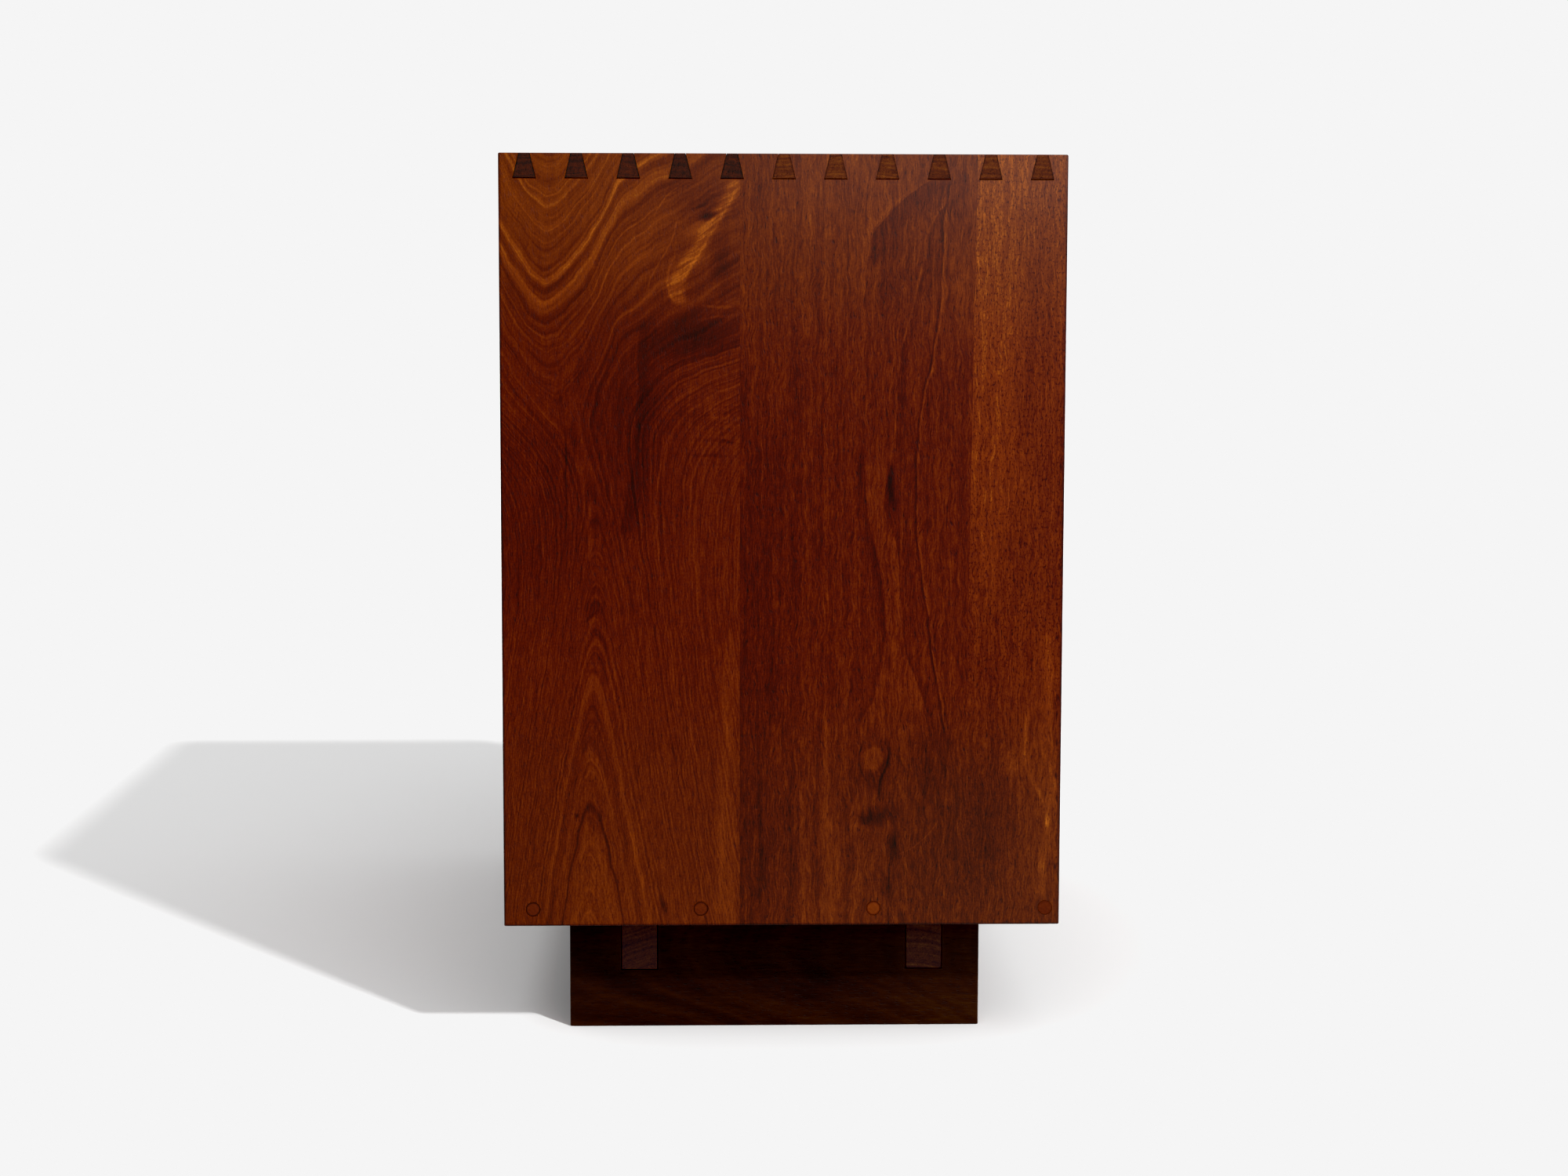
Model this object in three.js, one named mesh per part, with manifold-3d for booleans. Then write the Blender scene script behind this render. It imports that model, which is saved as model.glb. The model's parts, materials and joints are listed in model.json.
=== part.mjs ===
// A walnut chest of four drawers: a dovetailed case on a low base of two cross boards and two rails.
// Units are millimetres. +Z is up, the drawers open towards -Y, and the origin is on the floor under
// the middle of the case.

import * as THREE from "three";
import { mergeVertices } from "three/addons/utils/BufferGeometryUtils.js";
import Module from "manifold-3d";

const wasm = await Module();
wasm.setup();

// ---------------------------------------------------------------- driving dimensions

const caseWidth = 914.4;
const caseDepth = 508;
const caseHeight = 699;
const overallHeight = 813;
const stock = 22.4; // thickness of the top, sides, bottom and drawer fronts
const glue = 0.3; // gap left between pieces that touch

// Through dovetails between the top and the sides.
const pinCount = 11;
const pinNarrow = 9.6;
const pinWide = 20.4;

// Pegs through the sides into the bottom board.
const bottomLift = 4.4; // height of the bottom board's underside above the sides' lower ends
const pegRadius = 6.35;
const pegLength = 60;
const pegDepths = [-241, -83.5, 74.5, 227.5]; // where they sit from front to back

// Back panel, in a rebate round the rear of the case.
const backThickness = 9;
const rebate = 11;

// Base.
const baseInset = 76; // how far the cross boards stand in from the ends of the case
const baseStock = 34;
const baseFront = -188;
const baseRear = 198;
const railDepths = { front: -136, rear: 132.5 }; // of the rails' centre lines
const railHeight = 63.6;
const baseScrewX = 250;

// Drawers.
const drawerCount = 4;
const drawerStep = 10; // each drawer front is this much taller than the one above
const fingerGap = 16; // open height under each drawer front
const topReveal = 2;
const sideReveal = 1.5;
const frontSetback = 2;
const drawerDepth = 460;
const coveHeight = 16;
const lipThickness = 10;
const drawerSide = 16;
const drawerBack = 14;
const drawerPly = 6;
const sideRise = 20; // of a drawer side's lower edge above the front's lower edge
const sideDrop = 4; // of its upper edge below the front's upper edge
const bottomRise = 22.3;
const backDrop = 10;
const frontLap = 8.4; // wood left in the drawer front before its dovetail sockets
const drawerPinNarrow = 6;
const drawerPinWide = 12;
const drawerTails = 3;

// Runners, which the drawer sides' outer grooves slide on.
const runnerHeight = 14.4;
const runnerLength = 420;
const runnerFront = -215;
const runnerWidth = 8;
const runnerPlay = 0.3;
const grooveDepth = 7;

// ---------------------------------------------------------------- places worked out from them

const halfWidth = caseWidth / 2;
const halfDepth = caseDepth / 2;
const innerHalf = halfWidth - stock;
const sideFoot = overallHeight - caseHeight;
const topUnderside = overallHeight - stock;
const bottomUnderside = sideFoot + bottomLift;
const bottomTop = bottomUnderside + stock;
const backFace = halfDepth - backThickness;
const pinPitch = caseDepth / pinCount;
const pegHeight = bottomUnderside + stock / 2;
const baseTop = bottomUnderside - glue;
const baseHalf = halfWidth - baseInset;
const railFoot = baseTop - railHeight;
const drawerHalf = innerHalf - sideReveal;
const drawerRoom = topUnderside - bottomTop - topReveal - drawerCount * fingerGap;
const growth = (drawerStep * drawerCount * (drawerCount - 1)) / 2;
const topDrawerHeight = (drawerRoom - growth) / drawerCount;

const sides = [
  { name: "left", sign: -1 },
  { name: "right", sign: 1 },
];

// ---------------------------------------------------------------- materials

const finish = (color, roughness, metalness = 0) =>
  new THREE.MeshStandardMaterial({ color, roughness, metalness });

const walnut = finish("#6f2d0c", 0.42);
const baseWalnut = finish("#3c1407", 0.5);
const pegWalnut = finish("#7a3512", 0.45);
const ash = finish("#b98d5c", 0.55);
const ply = finish("#a9794a", 0.6);
const backPly = finish("#6a3013", 0.55);
const beech = finish("#b3854f", 0.5);
const steel = finish("#8f8c86", 0.35, 1);
const brass = finish("#a8843f", 0.35, 1);

// ---------------------------------------------------------------- geometry helpers

function solid(geometry) {
  const bare = geometry.clone();
  bare.deleteAttribute("normal");
  bare.deleteAttribute("uv");
  const merged = mergeVertices(bare, 1e-4);
  return new wasm.Manifold(
    new wasm.Mesh({
      numProp: 3,
      vertProperties: merged.attributes.position.array,
      triVerts: new Uint32Array(merged.index.array),
    }),
  );
}

function geometryOf(shape) {
  const { numProp, vertProperties, triVerts } = shape.getMesh();
  const positions = new Float32Array((vertProperties.length / numProp) * 3);
  for (let i = 0; i < positions.length / 3; i++) {
    positions.set(vertProperties.subarray(i * numProp, i * numProp + 3), i * 3);
  }
  const geometry = new THREE.BufferGeometry();
  geometry.setAttribute("position", new THREE.BufferAttribute(positions, 3));
  geometry.setIndex(new THREE.BufferAttribute(triVerts, 1));
  geometry.computeVertexNormals();
  return geometry;
}

// A box between two opposite corners, given in any order.
function block([x0, y0, z0], [x1, y1, z1]) {
  const box = new THREE.BoxGeometry(Math.abs(x1 - x0), Math.abs(y1 - y0), Math.abs(z1 - z0));
  return box.translate((x0 + x1) / 2, (y0 + y1) / 2, (z0 + z1) / 2);
}

// Extrudes an outline drawn in Y and Z from one X to another.
function extrudeAlongX(outline, x0, x1) {
  const shape = outline instanceof THREE.Shape ? outline : new THREE.Shape(outline);
  const from = Math.min(x0, x1);
  const geometry = new THREE.ExtrudeGeometry(shape, {
    depth: Math.abs(x1 - x0),
    bevelEnabled: false,
    curveSegments: 10,
  });
  const turn = new THREE.Matrix4().makeBasis(
    new THREE.Vector3(0, 1, 0),
    new THREE.Vector3(0, 0, 1),
    new THREE.Vector3(1, 0, 0),
  );
  return geometry.applyMatrix4(turn).translate(from, 0, 0);
}

const points = (pairs) => pairs.map(([y, z]) => new THREE.Vector2(y, z));

const cut = (shape, cutters) => cutters.reduce((left, cutter) => left.subtract(solid(cutter)), shape);

function piece(name, geometry, material, [x, y, z] = [0, 0, 0]) {
  const mesh = new THREE.Mesh(geometry, material);
  mesh.name = name;
  mesh.position.set(x, y, z);
  return mesh;
}

// A rod lying along X, centred on the origin.
function rodAlongX(radius, length) {
  return new THREE.CylinderGeometry(radius, radius, length, 24).rotateZ(Math.PI / 2);
}

// A countersunk screw with its head's flat face at the origin, pointing along +Z.
function screw({ headRadius, headHeight, shankRadius, length }) {
  const profile = points([
    [0, 0],
    [headRadius, 0],
    [shankRadius, headHeight],
    [shankRadius, length - 2 * shankRadius],
    [0, length],
  ]);
  return new THREE.LatheGeometry(profile, 16).rotateX(Math.PI / 2);
}

// The hole for that screw: as wide as it all along, a glue gap wider and deeper, and open behind the head.
function screwHole({ headRadius, headHeight, shankRadius, length }, open) {
  const profile = points([
    [0, -open],
    [headRadius + glue, -open],
    [headRadius + glue, 0],
    [shankRadius + glue, headHeight + glue],
    [shankRadius + glue, length + glue],
    [0, length + glue],
  ]);
  return new THREE.LatheGeometry(profile, 16).rotateX(Math.PI / 2);
}

// ---------------------------------------------------------------- top and sides

// The gap between two neighbouring dovetail pins on the top board, seen from the end: the tail of a side
// board fills it. grow widens it, and the first and last run past the board's edges.
function tailOutline(index, grow) {
  const before = -halfDepth + (index - 0.5) * pinPitch;
  const after = before + pinPitch;
  const edge = halfDepth + 10;
  const start = index === 0 ? [-edge, -edge] : [before + pinNarrow / 2, before + pinWide / 2];
  const end = index === pinCount ? [edge, edge] : [after - pinNarrow / 2, after - pinWide / 2];
  const slope = (pinWide - pinNarrow) / 2 / stock;
  const over = 1; // the cutter stands this much above and below the board
  return points([
    [start[1] + slope * over - grow, topUnderside - over],
    [end[1] - slope * over + grow, topUnderside - over],
    [end[0] + slope * over + grow, overallHeight + over],
    [start[0] - slope * over - grow, overallHeight + over],
  ]);
}

// One pin of the top board, seen from the end.
function pinOutline(index, grow) {
  const centre = -halfDepth + (index + 0.5) * pinPitch;
  const slope = (pinWide - pinNarrow) / 2 / stock;
  const over = 1;
  const narrow = pinNarrow / 2 + grow - slope * over;
  const wide = pinWide / 2 + grow + slope * glue;
  return points([
    [centre - wide, topUnderside - glue],
    [centre + wide, topUnderside - glue],
    [centre + narrow, overallHeight + over],
    [centre - narrow, overallHeight + over],
  ]);
}

function backRebate() {
  const reach = innerHalf + rebate;
  return block(
    [-reach, backFace - glue, bottomUnderside - stock],
    [reach, halfDepth + 1, topUnderside + rebate],
  );
}

function topBoard(holes) {
  const board = solid(
    block([-halfWidth, -halfDepth, topUnderside], [halfWidth, halfDepth, overallHeight]),
  );
  const sockets = sides.flatMap(({ sign }) =>
    Array.from({ length: pinCount + 1 }, (_, i) =>
      extrudeAlongX(tailOutline(i, 0), sign * (innerHalf - glue), sign * (halfWidth + 1)),
    ),
  );
  return geometryOf(cut(board, [...sockets, backRebate(), ...holes]));
}

function sideBoard(sign, holes) {
  const board = solid(
    block([sign * innerHalf, -halfDepth, sideFoot], [sign * halfWidth, halfDepth, overallHeight]),
  );
  const sockets = Array.from({ length: pinCount }, (_, i) =>
    extrudeAlongX(pinOutline(i, glue), sign * (innerHalf - 1), sign * (halfWidth + 1)),
  );
  const rebateCut = block(
    [sign * (innerHalf - 1), backFace - glue, sideFoot - 1],
    [sign * (innerHalf + rebate), halfDepth + 1, topUnderside + rebate],
  );
  return geometryOf(cut(board, [...sockets, rebateCut, ...holes]));
}

// ---------------------------------------------------------------- pegs

const pegCentres = sides.flatMap(({ name, sign }) =>
  pegDepths.map((depth, i) => ({
    name: `${name}_peg_${i + 1}`,
    sign,
    place: [sign * (halfWidth - pegLength / 2), depth, pegHeight],
  })),
);

const pegHoles = (keep) =>
  pegCentres
    .filter(keep)
    .map(({ sign, place: [x, y, z] }) =>
      rodAlongX(pegRadius + glue, pegLength + 2 * glue).translate(x - sign * glue * 0.5, y, z),
    );

// ---------------------------------------------------------------- screws

const railScrew = { headRadius: 5, headHeight: 3.2, shankRadius: 2.4, length: 50 };
const backScrew = { headRadius: 3.8, headHeight: 2.6, shankRadius: 1.6, length: 26 };
const counterbore = 34; // depth in the rail's underside

const railScrewPlaces = [-1, 1].flatMap((end) =>
  Object.values(railDepths).map((depth) => [end * baseScrewX, depth, railFoot + counterbore]),
);

const screwLine = innerHalf + rebate / 2; // of the back panel's screws in the case sides
const backScrewHeights = [bottomTop + 40, (bottomTop + topUnderside) / 2, topUnderside - 60];
const backScrewPlaces = [
  ...backScrewHeights.flatMap((z) => [-1, 1].map((side) => [side * screwLine, halfDepth, z])),
  ...[-1, 1].flatMap((side) => [
    [(side * innerHalf) / 3, halfDepth, topUnderside + rebate / 2],
    [(side * innerHalf) / 3, halfDepth, bottomUnderside + stock / 2],
  ]),
];

const railScrewHoles = railScrewPlaces.map(([x, y, z]) =>
  screwHole(railScrew, counterbore + 1).translate(x, y, z),
);
const backScrewHoles = backScrewPlaces.map(([x, y, z]) =>
  screwHole(backScrew, 1).rotateX(Math.PI / 2).translate(x, y, z),
);

// ---------------------------------------------------------------- case

function buildCase() {
  const group = new THREE.Group();
  group.add(piece("top_board", topBoard(backScrewHoles), walnut));
  for (const { name, sign } of sides) {
    const holes = [...pegHoles((peg) => peg.sign === sign), ...backScrewHoles];
    group.add(piece(`${name}_side`, sideBoard(sign, holes), walnut));
  }

  const bottom = cut(
    solid(
      block(
        [-innerHalf + glue, -halfDepth, bottomUnderside],
        [innerHalf - glue, backFace - glue, bottomTop],
      ),
    ),
    [...pegHoles(() => true), ...railScrewHoles, ...backScrewHoles],
  );
  group.add(piece("bottom_board", geometryOf(bottom), walnut));

  const reach = innerHalf + rebate - glue;
  const back = cut(
    solid(
      block([-reach, backFace, bottomUnderside], [reach, halfDepth, topUnderside + rebate - glue]),
    ),
    backScrewHoles,
  );
  group.add(piece("back_panel", geometryOf(back), backPly));

  for (const { name, place } of pegCentres) {
    group.add(piece(name, rodAlongX(pegRadius, pegLength), pegWalnut, place));
  }
  backScrewPlaces.forEach((place, i) => {
    const mesh = piece(`back_screw_${i + 1}`, screw(backScrew), brass, place);
    mesh.rotation.x = Math.PI / 2;
    group.add(mesh);
  });
  return group;
}

// ---------------------------------------------------------------- base

function buildBase() {
  const group = new THREE.Group();
  const notch = baseStock / 2 + glue;
  for (const { name, sign } of sides) {
    const outer = sign * baseHalf;
    const inner = sign * (baseHalf - baseStock);
    const board = cut(
      solid(block([inner, baseFront, 0], [outer, baseRear, baseTop])),
      Object.values(railDepths).map((depth) =>
        block(
          [inner - sign, depth - notch, railFoot - glue],
          [outer + sign, depth + notch, baseTop + 1],
        ),
      ),
    );
    group.add(piece(`base_cross_board_${name}`, geometryOf(board), baseWalnut));
  }

  for (const [end, depth] of Object.entries(railDepths)) {
    const bar = cut(
      solid(
        block(
          [-baseHalf, depth - baseStock / 2, railFoot],
          [baseHalf, depth + baseStock / 2, baseTop],
        ),
      ),
      railScrewHoles,
    );
    group.add(piece(`base_rail_${end}`, geometryOf(bar), baseWalnut));
  }

  railScrewPlaces.forEach((place, i) => {
    group.add(piece(`base_screw_${i + 1}`, screw(railScrew), steel, place));
  });
  return group;
}

// ---------------------------------------------------------------- drawers

// A drawer is built with its origin at the middle of its front's lower outer edge.
function drawerMeasures(index) {
  const height = topDrawerHeight + index * drawerStep;
  const sideFloor = sideRise;
  const sideTop = height - sideDrop;
  return { height, sideFloor, sideTop, tailPitch: (sideTop - sideFloor) / drawerTails };
}

// A trapezoid in Y and Z that is wide at one Y and narrow at another.
function wedgeOutline(centre, [yNarrow, halfNarrow], [yWide, halfWide]) {
  const outline = points([
    [yNarrow, centre - halfNarrow],
    [yWide, centre - halfWide],
    [yWide, centre + halfWide],
    [yNarrow, centre + halfNarrow],
  ]);
  return yNarrow < yWide ? outline : outline.reverse();
}

// The pins that a side board's ends make room for. At the front they belong to the drawer front, and the
// outer two are half pins. At the rear there are only the inner ones, on the drawer back.
function frontPins({ sideFloor, tailPitch }, grow) {
  return Array.from({ length: drawerTails + 1 }, (_, k) =>
    wedgeOutline(
      sideFloor + k * tailPitch,
      [frontLap - 1, drawerPinNarrow / 2 + grow],
      [stock, drawerPinWide / 2 + grow],
    ),
  );
}

function rearPins({ sideFloor, tailPitch }, grow, reach) {
  return [1, drawerTails - 1].map((k) =>
    wedgeOutline(
      sideFloor + k * tailPitch,
      [drawerDepth + reach, drawerPinNarrow / 2 + grow],
      [drawerDepth - drawerBack - grow, drawerPinWide / 2 + grow],
    ),
  );
}

function frontProfile(height) {
  const shape = new THREE.Shape();
  shape.moveTo(0, 0);
  shape.lineTo(lipThickness, 0);
  shape.absellipse(stock, 0, stock - lipThickness, coveHeight, Math.PI, Math.PI / 2, true);
  shape.lineTo(stock, height);
  shape.lineTo(0, height);
  shape.closePath();
  return shape;
}

function drawerFront(measures) {
  const { height, sideFloor, sideTop } = measures;
  const inside = drawerHalf - drawerSide - glue;
  const socketDepth = [frontLap, stock + 1];
  const sockets = sides.map(({ sign }) => {
    const room = solid(
      block(
        [sign * inside, socketDepth[0], sideFloor - glue],
        [sign * (drawerHalf + 1), socketDepth[1], sideTop + glue],
      ),
    );
    return cut(
      room,
      frontPins(measures, 0).map((pin) => extrudeAlongX(pin, sign * (inside - 1), sign * (drawerHalf + 2))),
    );
  });
  const groove = block(
    [-inside - 7, stock - 8, bottomRise - glue],
    [inside + 7, stock + 1, bottomRise + drawerPly + glue],
  );
  const board = solid(extrudeAlongX(frontProfile(height), -drawerHalf, drawerHalf));
  const socketed = sockets.reduce((left, socket) => left.subtract(socket), board);
  return geometryOf(cut(socketed, [groove]));
}

function drawerSideBoard(sign, measures) {
  const { sideFloor, sideTop } = measures;
  const inner = sign * (drawerHalf - drawerSide);
  const outer = sign * drawerHalf;
  const board = solid(
    block([inner, frontLap + glue, sideFloor], [outer, drawerDepth, sideTop]),
  );
  const pins = [...frontPins(measures, glue), ...rearPins(measures, glue, 1)];
  const grooveMiddle = (sideFloor + sideTop) / 2;
  const runnerGroove = block(
    [sign * (drawerHalf - grooveDepth), stock + 14, grooveMiddle - runnerHeight / 2 - runnerPlay],
    [outer + sign, drawerDepth + 1, grooveMiddle + runnerHeight / 2 + runnerPlay],
  );
  const bottomGroove = block(
    [inner - sign, 0, bottomRise - glue],
    [inner + sign * 6, drawerDepth + 1, bottomRise + drawerPly + glue],
  );
  return geometryOf(
    cut(board, [
      ...pins.map((pin) => extrudeAlongX(pin, inner - sign, outer + sign)),
      runnerGroove,
      bottomGroove,
    ]),
  );
}

function drawerBackBoard(measures) {
  const { height } = measures;
  const inside = drawerHalf - drawerSide - glue;
  const board = solid(
    block(
      [-inside, drawerDepth - drawerBack, bottomRise + drawerPly + glue],
      [inside, drawerDepth, height - backDrop],
    ),
  );
  const pins = sides.flatMap(({ sign }) =>
    rearPins(measures, 0, 0).map((pin) =>
      solid(extrudeAlongX(pin, sign * (inside - 1), sign * drawerHalf)),
    ),
  );
  return geometryOf(pins.reduce((whole, pin) => whole.add(pin), board));
}

function drawerBottom() {
  const reach = drawerHalf - drawerSide + 6 - glue;
  return block(
    [-reach, stock - 8 + glue, bottomRise],
    [reach, drawerDepth - 1, bottomRise + drawerPly],
  );
}

function buildDrawer(index, floor) {
  const measures = drawerMeasures(index);
  const group = new THREE.Group();
  group.position.set(0, -halfDepth + frontSetback, floor);
  const name = (part) => `drawer_${index + 1}_${part}`;
  group.add(piece(name("front"), drawerFront(measures), walnut));
  for (const side of sides) {
    group.add(piece(name(`${side.name}_side`), drawerSideBoard(side.sign, measures), ash));
  }
  group.add(piece(name("back"), drawerBackBoard(measures), ash));
  group.add(piece(name("bottom"), drawerBottom(), ply));
  return group;
}

function buildRunners(index, floor) {
  const { sideFloor, sideTop } = drawerMeasures(index);
  const height = floor + (sideFloor + sideTop) / 2;
  const group = new THREE.Group();
  for (const { name, sign } of sides) {
    const strip = new THREE.BoxGeometry(runnerWidth - glue, runnerLength, runnerHeight);
    const x = sign * (innerHalf - (runnerWidth + glue) / 2);
    const place = [x, runnerFront + runnerLength / 2, height];
    group.add(piece(`runner_${index + 1}_${name}`, strip, beech, place));
  }
  return group;
}

// ---------------------------------------------------------------- the chest

const chest = new THREE.Group();
chest.add(buildCase(), buildBase());

let ceiling = topUnderside - topReveal;
for (let index = 0; index < drawerCount; index++) {
  const floor = ceiling - drawerMeasures(index).height;
  chest.add(buildDrawer(index, floor), buildRunners(index, floor));
  ceiling = floor - fingerGap;
}

export default chest;
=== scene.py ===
import json
import math
import random

import bmesh
import bpy
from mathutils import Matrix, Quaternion, Vector


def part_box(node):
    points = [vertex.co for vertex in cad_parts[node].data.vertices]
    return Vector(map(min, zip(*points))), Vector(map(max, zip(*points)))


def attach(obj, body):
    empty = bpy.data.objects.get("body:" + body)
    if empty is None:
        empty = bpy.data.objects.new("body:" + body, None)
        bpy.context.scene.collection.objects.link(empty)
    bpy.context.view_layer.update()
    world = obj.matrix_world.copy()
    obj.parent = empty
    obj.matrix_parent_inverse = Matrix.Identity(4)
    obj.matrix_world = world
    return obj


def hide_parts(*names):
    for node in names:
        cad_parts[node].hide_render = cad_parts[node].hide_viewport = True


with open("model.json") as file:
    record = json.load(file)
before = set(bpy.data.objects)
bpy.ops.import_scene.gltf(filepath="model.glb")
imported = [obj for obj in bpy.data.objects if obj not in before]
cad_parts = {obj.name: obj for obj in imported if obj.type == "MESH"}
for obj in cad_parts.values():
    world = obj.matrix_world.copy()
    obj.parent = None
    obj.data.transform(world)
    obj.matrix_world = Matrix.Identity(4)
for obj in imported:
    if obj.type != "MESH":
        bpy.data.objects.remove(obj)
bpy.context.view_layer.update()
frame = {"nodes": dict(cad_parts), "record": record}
nodes = frame["nodes"]
body_of_node = {
    node: body for body, members in frame["record"]["behaviour"]["bodies"].items() for node in members
}
slot_of_node = {part["node"]: part["material_slot"] for part in frame["record"]["subparts"]}


# ---------------------------------------------------------------- camera, light and floor

LENS = 63.24
CAMERA_BACK = 2.476  # from the end panel
CAMERA_ASIDE = 0.0692  # towards the rear of the chest
CAMERA_HEIGHT = 0.6827
CAMERA_TURN = 1.621  # degrees to the right of square on
CAMERA_TILT = 5.952  # degrees down
CAMERA_ROLL = 0.136

SUN_TRAVEL = Vector((1.094, 0.808, -1.0))
SUN_STRENGTH = 3.2
SUN_SPREAD = 3.5  # degrees
FILL_TRAVEL = Vector((1.0, -0.12, -0.9))
FILL_STRENGTH = 1.25
FILL_SPREAD = 60
BACK_TRAVEL = Vector((-0.55, -0.45, -0.8))
BACK_STRENGTH = 0.32
BACK_SPREAD = 50
FLOOR_ALBEDO = 0.8
SKY_LOW = 0.24
SKY_HIGH = 0.77

PAPER_WHITE = 0.913  # the level that the floor and the backdrop are held to
BLACK_POINT = 0.008
TONE_POINTS = [(0.0, 0.0), (0.3, 0.22), (0.7, 0.68), (0.95, PAPER_WHITE), (1.0, PAPER_WHITE)]


def add_camera():
    """The camera looks almost square on at the left end, from a little above its top."""
    end_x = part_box("left_side")[0].x
    data = bpy.data.cameras.new("camera")
    data.lens = LENS
    data.sensor_width = 36
    data.clip_start = 0.05
    data.clip_end = 200
    camera = bpy.data.objects.new("camera", data)
    camera.location = (end_x - CAMERA_BACK, CAMERA_ASIDE, CAMERA_HEIGHT)
    camera.rotation_mode = "QUATERNION"
    heading = Quaternion((0, 0, 1), math.radians(-90 - CAMERA_TURN))
    tilt = Quaternion((1, 0, 0), math.radians(90 - CAMERA_TILT))
    roll = Quaternion((0, 0, 1), math.radians(CAMERA_ROLL))
    camera.rotation_quaternion = heading @ tilt @ roll
    bpy.context.scene.collection.objects.link(camera)
    bpy.context.scene.camera = camera


def add_light(name, kind, place=(0, 0, 3), travel=(0, 0, -1), **settings):
    """A light whose rays go in the direction of travel."""
    data = bpy.data.lights.new(name, kind)
    for key, value in settings.items():
        setattr(data, key, value)
    light = bpy.data.objects.new(name, data)
    light.location = place
    light.rotation_mode = "QUATERNION"
    light.rotation_quaternion = Vector(travel).to_track_quat("-Z", "Y")
    bpy.context.scene.collection.objects.link(light)
    return light


def add_lights():
    """A key light that casts the shadow, two broad soft ones, and a glossy sheen on the end panel."""
    add_light("key", "SUN", travel=SUN_TRAVEL, energy=SUN_STRENGTH, angle=math.radians(SUN_SPREAD))
    add_light("fill", "SUN", travel=FILL_TRAVEL, energy=FILL_STRENGTH, angle=math.radians(FILL_SPREAD))
    add_light("back", "SUN", travel=BACK_TRAVEL, energy=BACK_STRENGTH, angle=math.radians(BACK_SPREAD))
    sheen = add_light(
        "sheen",
        "AREA",
        place=(-6.5, -2.6, 2.4),
        travel=(6.0, 2.4, -1.6),
        energy=200,
        shape="RECTANGLE",
        size=1.8,
        size_y=1.6,
    )
    sheen.visible_diffuse = False


def add_sky():
    """A dome of light, brighter overhead, and a white backdrop that only the camera sees."""
    world = bpy.data.worlds.new("studio")
    bpy.context.scene.world = world
    world.use_nodes = True
    tree = world.node_tree
    tree.nodes.clear()
    out = tree.nodes.new("ShaderNodeOutputWorld")
    coordinates = tree.nodes.new("ShaderNodeTexCoord")
    height = tree.nodes.new("ShaderNodeSeparateXYZ")
    tree.links.new(coordinates.outputs["Generated"], height.inputs[0])
    level = tree.nodes.new("ShaderNodeMapRange")
    level.inputs["From Min"].default_value = 0
    level.inputs["From Max"].default_value = 1
    level.inputs["To Min"].default_value = SKY_LOW
    level.inputs["To Max"].default_value = SKY_HIGH
    tree.links.new(height.outputs["Z"], level.inputs["Value"])
    dome = tree.nodes.new("ShaderNodeBackground")
    dome.inputs["Color"].default_value = (1, 1, 1, 1)
    tree.links.new(level.outputs["Result"], dome.inputs["Strength"])
    backdrop = tree.nodes.new("ShaderNodeBackground")
    backdrop.inputs["Color"].default_value = (1, 1, 1, 1)
    seen = tree.nodes.new("ShaderNodeLightPath")
    choose = tree.nodes.new("ShaderNodeMixShader")
    tree.links.new(seen.outputs["Is Camera Ray"], choose.inputs["Fac"])
    tree.links.new(dome.outputs[0], choose.inputs[1])
    tree.links.new(backdrop.outputs[0], choose.inputs[2])
    tree.links.new(choose.outputs[0], out.inputs["Surface"])


def add_floor():
    """A wide sheet of pale matt paper."""
    mesh = bpy.data.meshes.new("floor")
    reach = 60
    mesh.from_pydata(
        [(-reach, -reach, 0), (reach, -reach, 0), (reach, reach, 0), (-reach, reach, 0)], [], [(0, 1, 2, 3)]
    )
    floor = bpy.data.objects.new("floor", mesh)
    bpy.context.scene.collection.objects.link(floor)
    paper = bpy.data.materials.new("floor_paper")
    paper.use_nodes = True
    paper.node_tree.nodes.clear()
    out = paper.node_tree.nodes.new("ShaderNodeOutputMaterial")
    matt = paper.node_tree.nodes.new("ShaderNodeBsdfDiffuse")
    matt.inputs["Color"].default_value = (FLOOR_ALBEDO, FLOOR_ALBEDO, FLOOR_ALBEDO, 1)
    paper.node_tree.links.new(matt.outputs[0], out.inputs["Surface"])
    mesh.materials.append(paper)


def set_tone():
    """The picture's contrast: dark woods a little deeper, and the paper a clean, even white."""
    view = bpy.context.scene.view_settings
    view.view_transform = "Standard"
    view.look = "None"
    view.use_curve_mapping = True
    mapping = view.curve_mapping
    mapping.black_level = (BLACK_POINT, BLACK_POINT, BLACK_POINT)
    points = mapping.curves[3].points
    while len(points) < len(TONE_POINTS):
        points.new(0.5, 0.5)
    for point, place in zip(points, TONE_POINTS):
        point.location = place
        point.handle_type = "VECTOR"
    mapping.extend = "HORIZONTAL"
    mapping.update()


# ---------------------------------------------------------------- fields: sums written as nodes


class Field:
    """A number that varies over a surface. It adds and multiplies like a number, in Math nodes."""

    def __init__(self, recipe, socket):
        self.recipe = recipe
        self.socket = socket

    def __add__(self, other):
        return self.recipe.math("ADD", self, other)

    def __sub__(self, other):
        return self.recipe.math("SUBTRACT", self, other)

    def __rsub__(self, other):
        return self.recipe.math("SUBTRACT", other, self)

    def __mul__(self, other):
        return self.recipe.math("MULTIPLY", self, other)

    __radd__ = __add__
    __rmul__ = __mul__


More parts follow.
